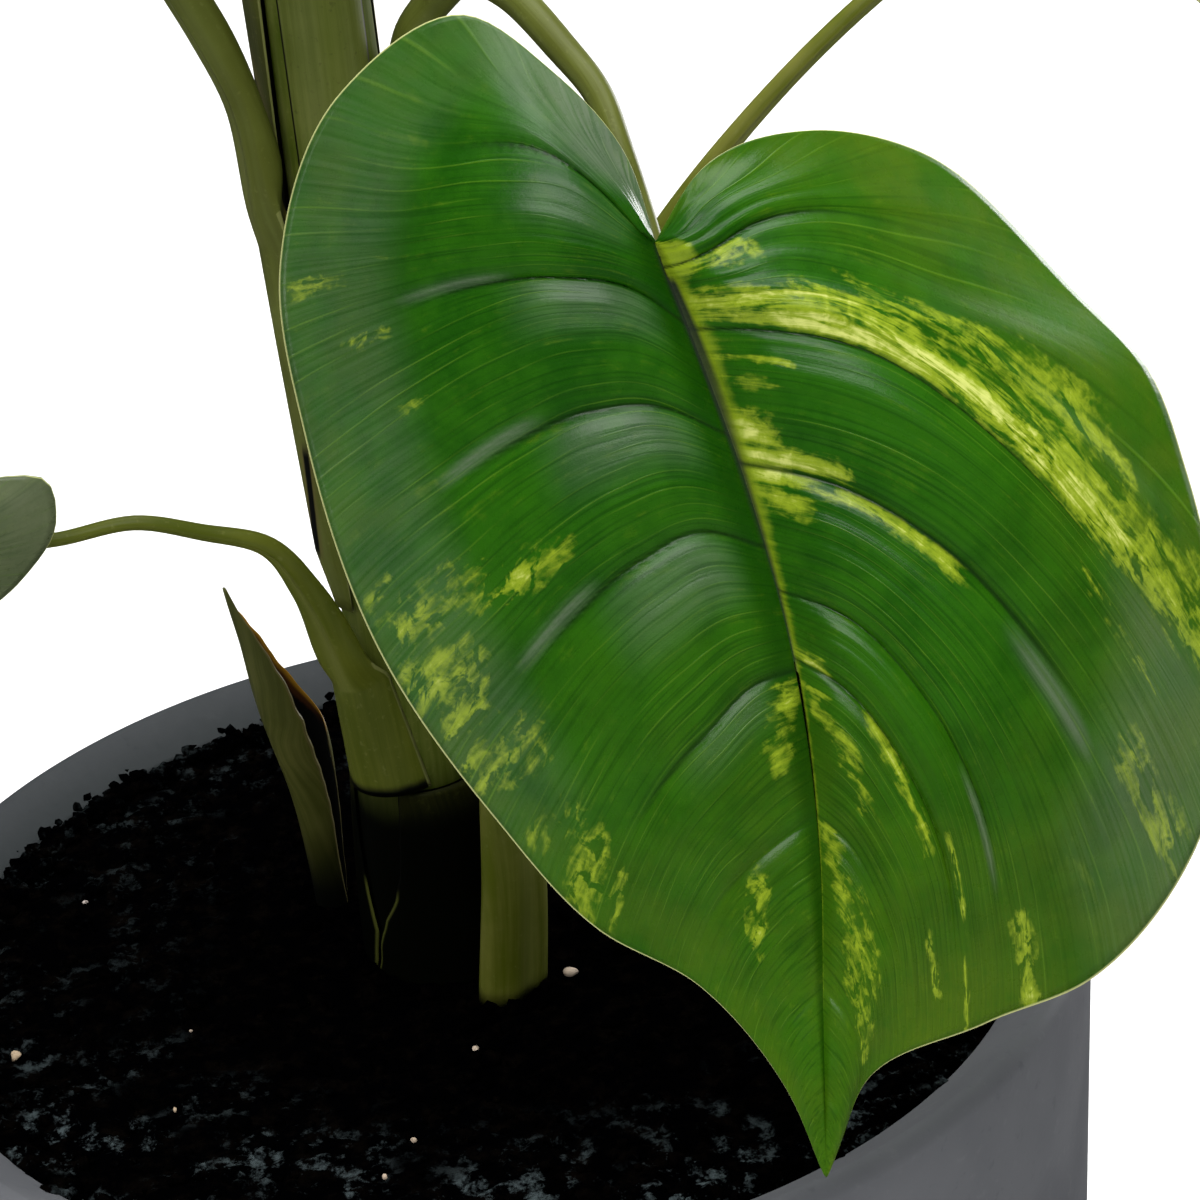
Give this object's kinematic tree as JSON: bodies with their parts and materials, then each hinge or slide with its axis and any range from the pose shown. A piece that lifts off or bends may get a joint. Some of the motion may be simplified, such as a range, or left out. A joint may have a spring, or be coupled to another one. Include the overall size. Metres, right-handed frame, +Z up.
{
  "type": "potted elephant ear",
  "caption": "Potted elephant ear house plant: heart-shaped variegated leaves on arching stems that rise from sheaths, in dark soil and a matte grey round pot.",
  "frame": {"origin": "centre of the pot's flat underside", "axes": "+Z up through the pot's rim, -Y towards the front leaf, +X to the right when the front leaf faces the viewer"},
  "size_m": [0.5557, 0.4556, 0.8406],
  "materials": {
    "pot": "matte",
    "soil": "rough",
    "stem": "satin",
    "old_sheath": "satin",
    "leaf": "semi-gloss"
  },
  "bodies": {
    "root": {"pot": "pot", "soil": "soil", "stem_top": "stem", "stem_front": "stem", "stem_left": "stem", "stem_upper_left": "stem", "stem_back_left": "stem", "stem_back_right": "stem", "stem_high": "stem", "stem_right": "stem", "lower_sheath": "old_sheath", "bud_sheath": "old_sheath", "leaf_front": "leaf", "leaf_left": "leaf", "leaf_upper_left": "leaf", "leaf_right": "leaf", "leaf_top": "leaf", "leaf_back_left": "leaf", "leaf_back_right": "leaf", "leaf_high": "leaf"}
  },
  "joints": []
}
